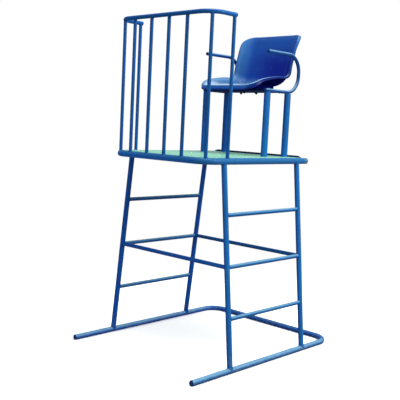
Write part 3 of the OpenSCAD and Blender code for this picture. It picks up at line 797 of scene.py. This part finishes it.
shares = np.concatenate([np.linspace(0.04, 0.84, 21), np.linspace(0.87, 1, 8)])


def across(share):
    """The outline drawn in toward the hub, as s and a."""
    spot = hub + (loop - hub) * share
    return spot[:, 0], spot[:, 1]


edge, normal = skin(*across(1)), square_to(*across(1))
outward = unit(np.cross(np.roll(edge, -1, 0) - np.roll(edge, 1, 0), normal))


def rim(out, down, extra=0.0):
    """A ring that runs beside the skin's edge, this far out and down from it."""
    return edge + out * outward - (down + extra) * normal


inner = ROLL_R - SKIN_T
more = FRONT_LIP_H * (1 - smooth((loop[:, 1:] - FRONT_LIP_END) / FRONT_LIP_FADE))
rings = [skin(*across(f)) for f in shares]
folds = [max(0.0, (f - 0.90) / 0.10) for f in shares]
rings += [rim(ROLL_R * math.sin(t), ROLL_R * (1 - math.cos(t)))
          for t in np.radians(range(15, 91, 15))]
folds += [1.0, 1.0, 1.0, 1.1, 1.25, 1.4]
lip = [(ROLL_R, 0.0012), (ROLL_R - 0.0003, 0.0004), (ROLL_R - 0.0012, 0), (inner + 0.0012, 0),
       (inner + 0.0003, 0.0004), (inner, 0.0012)]
rings += [rim(out, ROLL_R + LIP_H - short, more) for out, short in lip]
outside = len(rings) - 2
rings += [rim(inner * math.sin(t), ROLL_R - inner * math.cos(t))
          for t in np.radians(range(90, -1, -30))]
rings += [skin(*across(f)) - SKIN_T * square_to(*across(f)) for f in shares[-2::-1]]
around, deep = len(loop), len(rings)
points = np.concatenate([*rings, [skin(*hub)], [skin(*hub) - SKIN_T * square_to(*hub)]])
upper_hub, last = deep * around, (deep - 1) * around
faces, hidden = [], []
for k in range(around):
    after = (k + 1) % around
    faces += [(upper_hub, k, after), (upper_hub + 1, last + after, last + k)]
    faces += [(j * around + k, (j + 1) * around + k, (j + 1) * around + after, j * around + after)
              for j in range(deep - 1)]
    hidden += [0, 1] + [int(j >= outside) for j in range(deep - 1)]
shell = bpy.data.meshes.new("seat_shell")
shell.from_pydata(points.tolist(), [], faces)
shell.polygons.foreach_set("material_index", hidden)
folds += [2.0] * (deep - len(folds))
fold = shell.attributes.new("fold", "FLOAT", "POINT")
fold.data.foreach_set("value", np.concatenate([np.repeat(folds, around), [0.0, 2.0]]))

seat_blue, net, where = finish("seat blue plastic")
drift = net.noise(where, 5.0, 3)
rub = net.band(net.noise(where, 26, 5, 0.62), 0.52, 0.74)
grain = net.add("ShaderNodeTexVoronoi", {"feature": "SMOOTH_F1"}, {"Vector": where, "Scale": 620.0})
spot = net.parts(where)
turned = net.parts(net.add("ShaderNodeTexCoord").out("Normal"))
facing = turned.out("Z")
fold = net.add("ShaderNodeAttribute", {"attribute_name": "fold"}).out("Fac")
# Painted light: the seat is painted lighter toward the top of the back and toward its -X side, a
# painted sheen.
upper = net.band(spot.out("Z") + drift * 0.05, 1.85, 2.02)
right = net.band(spot.out("X") + drift * 0.08, -0.24, 0.12)
lit_top_and_far_side = 1 - (1 - upper) * right
tone = net.mix(lit_top_and_far_side, (0.0012, 0.014, 0.255), (0.010, 0.078, 0.370))
tone = net.mix(rub * 0.3, tone, (0.012, 0.070, 0.400))
# Painted light: faces that look up are painted paler, a painted sheen, and faces turned toward +X
# and the right-hand lamp are painted brighter.
tone = net.mix(net.band(facing, 0.4, 0.85) * 0.85, tone, (0.052, 0.155, 0.330))
tone = net.mix(net.band(turned.out("X"), 0.3, 0.9) * 0.8, tone, (0.030, 0.150, 0.360))
# Painted highlight: the front of the pan, where it faces up, is painted pale, less on its +X side.
pan_front_sheen = (1 - net.band(spot.out("Y") + drift * 0.04, 0.095, 0.268)) * net.band(facing, 0.5, 0.9)
pan_front_sheen = pan_front_sheen * (1 - net.band(spot.out("X"), -0.04, 0.18) * 0.85)
tone = net.mix(pan_front_sheen * 0.95, tone, (0.470, 0.580, 0.780))
# Painted highlight along the rolled rim, paler where it faces up, mostly kept off the back.
on_back = net.band(spot.out("Z"), 1.70, 1.79)
rim_highlight = net.band(fold, 0.0, 0.8) * (1 - net.band(fold, 1.2, 1.8)) * (1 - on_back * 0.85)
tone = net.mix(rim_highlight * (net.band(facing, 0.0, 0.8) * 0.75 + 0.2), tone, (0.240, 0.490, 0.740))
# Painted light: the far (-X) rim and the front corner of the pan on that side are toned to a dimmer
# grey-blue painted sheen.
corner = net.band(spot.out("X") * 0.73 + spot.out("Y") * 0.69, -0.100, -0.078)
far_rim = (1 - net.band(spot.out("X"), -0.230, -0.190) * corner) * (1 - on_back)
tone = net.mix(far_rim * 0.9, tone, (0.085, 0.185, 0.350))
# Painted light and shade on the lip: bright blue at the front, facing the front lamp, and near
# black elsewhere, a painted shade, below the back only.
front = (1 - net.band(spot.out("Y"), 0.05, 0.12)) * (1 - net.band(turned.out("X"), 0.1, 0.7) * 0.85)
wall = net.mix(front, (0.002, 0.010, 0.110), (0.030, 0.180, 0.760))
UNDER_Z, BEHIND_Z = 1.715, 1.815  # the rough underside turns into the smooth back here
low = 1 - net.band(spot.out("Z"), UNDER_Z, BEHIND_Z)
tone = net.mix(net.band(fold, 1.2, 1.45 + front * 0.3) * low, tone, wall)
# Painted shade: the lip is darkened again, most below the back.
tone = net.mix(net.band(fold, 1.6, 2.0) * (0.15 + low * 0.65), tone, (0.002, 0.012, 0.190))
close(net, {"Base Color": tone, "Roughness": 0.30 + rub * 0.12, "IOR": 1.5,
            "Specular IOR Level": 0.14}, (grain, 0.00016))
# Painted shade: the underside material is near black and without gloss below UNDER_Z, and it turns
# into satin blue above BEHIND_Z on the back. The inside of the lip and the underside of the shell
# take it.
seat_under, net, where = finish("seat underside, painted shade")
dust = net.band(net.noise(where, 34, 5, 0.65), 0.45, 0.75)
behind = net.band(net.parts(where).out("Z"), UNDER_Z, BEHIND_Z)
grain = net.bump(net.noise(where, 700, 2), 0.0001)
rough = net.add("ShaderNodeBsdfPrincipled", {}, {
    "Base Color": net.mix(dust * 0.4, (0.001, 0.003, 0.085), (0.006, 0.014, 0.120)),
    "Roughness": 0.85, "Specular IOR Level": 0.0, "Normal": grain})
satin = net.add("ShaderNodeBsdfPrincipled", {}, {
    "Base Color": net.mix(dust * 0.4, (0.003, 0.045, 0.340), (0.012, 0.070, 0.380)),
    "Roughness": 0.34 + dust * 0.14, "Specular IOR Level": 0.14, "Normal": grain})
surface = net.add("ShaderNodeMixShader", {}, {0: behind, 1: rough, 2: satin})
net.add("ShaderNodeOutputMaterial", {}, {"Surface": surface})
shell.materials.append(seat_blue)
shell.materials.append(seat_under)
ride(link("seat_shell", shell), "seat_plastic", "seat_shell")
dress(dark_plug, "seat_foot")

# Moulded ribs stiffen the pan from below: they hang from its underside, get
# thinner on the way down and end just over the seat bars.
RIB_X, RIB_Y = (-0.165, -0.065, 0.0, 0.065, 0.165), (0.090, *SEAT_BAR_Y, 0.240, 0.350)
RIB_STEPS, RIB_ROOT_HALF, RIB_TIP_HALF = 24, 0.0017, 0.0011
RIB_SINK, RIB_TIP_Z = 0.001, ARM_LOW + SEAT_BAR_R + 0.0004
lines = [((RIB_X[0], y), (RIB_X[-1], y)) for y in RIB_Y]
lines += [((x, RIB_Y[0]), (x, RIB_Y[-1])) for x in RIB_X]
points, faces = [], []
for start, end in lines:
    sideways = (0.0, 1.0) if start[1] == end[1] else (1.0, 0.0)
    first = len(points)
    for k in range(RIB_STEPS + 1):
        x, y = np.add(start, np.subtract(end, start) * k / RIB_STEPS)
        root_z = skin(x / HALF, y - PAN_FRONT)[2] - SKIN_T + RIB_SINK
        for z, half in ((root_z, RIB_ROOT_HALF), (RIB_TIP_Z, RIB_TIP_HALF)):
            points += [(x - half * sideways[0], y - half * sideways[1], z),
                       (x + half * sideways[0], y + half * sideways[1], z)]
    last = first + 4 * RIB_STEPS
    for k in range(first, last, 4):
        faces += [(k, k + 1, k + 5, k + 4), (k + 2, k + 6, k + 7, k + 3),
                  (k, k + 4, k + 6, k + 2), (k + 1, k + 3, k + 7, k + 5)]
    faces += [(first, first + 2, first + 3, first + 1), (last, last + 1, last + 3, last + 2)]
ribs = bpy.data.meshes.new("seat_ribs")
ribs.from_pydata(points, [], faces)
whole = bmesh.new()
whole.from_mesh(ribs)
bmesh.ops.recalc_face_normals(whole, faces=whole.faces)
whole.to_mesh(ribs)
whole.free()
# The ribs take the underside material and so its painted shade.
ride(link("seat_ribs", ribs, seat_under), "seat_plastic")


# What holds the seat: four M8 bolts with round heads through the pan, its feet
# and the two bars, a washer under each head and each nut. All are blackened.
BOLT_X, BOLT_TIP, WASHER_T, NUT_H, KEY_R = 0.065, 0.003, 0.0015, 0.0065, 0.0029
UNDER_BAR = ARM_LOW - SEAT_BAR_R
blackened, net, where = finish("blackened steel")
rust = net.band(net.noise(where, 160, 4, 0.65), 0.58, 0.78)
close(net, {"Base Color": net.mix(rust * 0.5, (0.012, 0.013, 0.018), (0.055, 0.030, 0.020)),
            "Metallic": 0.6, "Roughness": 0.42 + rust * 0.3}, (net.noise(where, 1300, 2), 0.00004))
dress(blackened, "seat_washer", "seat_nut")
corners = [math.radians(60 * k) for k in range(6)]
hexagon = [(KEY_R * math.cos(t), KEY_R * math.sin(t)) for t in corners]
recess = prism(hexagon, top_z=0.0060, foot_z=0.0018, taper=0.96)
bolt = screw_mesh(head=0.018, cap=0.005, shank=0.008, recess=recess,
                  length=PAN_Z + WASHER_T - (UNDER_BAR - WASHER_T - NUT_H - BOLT_TIP))
spots = [((x, y, PAN_Z + WASHER_T), (0, 0, 1)) for x in (-BOLT_X, BOLT_X) for y in SEAT_BAR_Y]
ride(place("seat_bolts", bolt, spots, blackened, 2 * math.pi, 7), "black_steel", "seat_bolt")
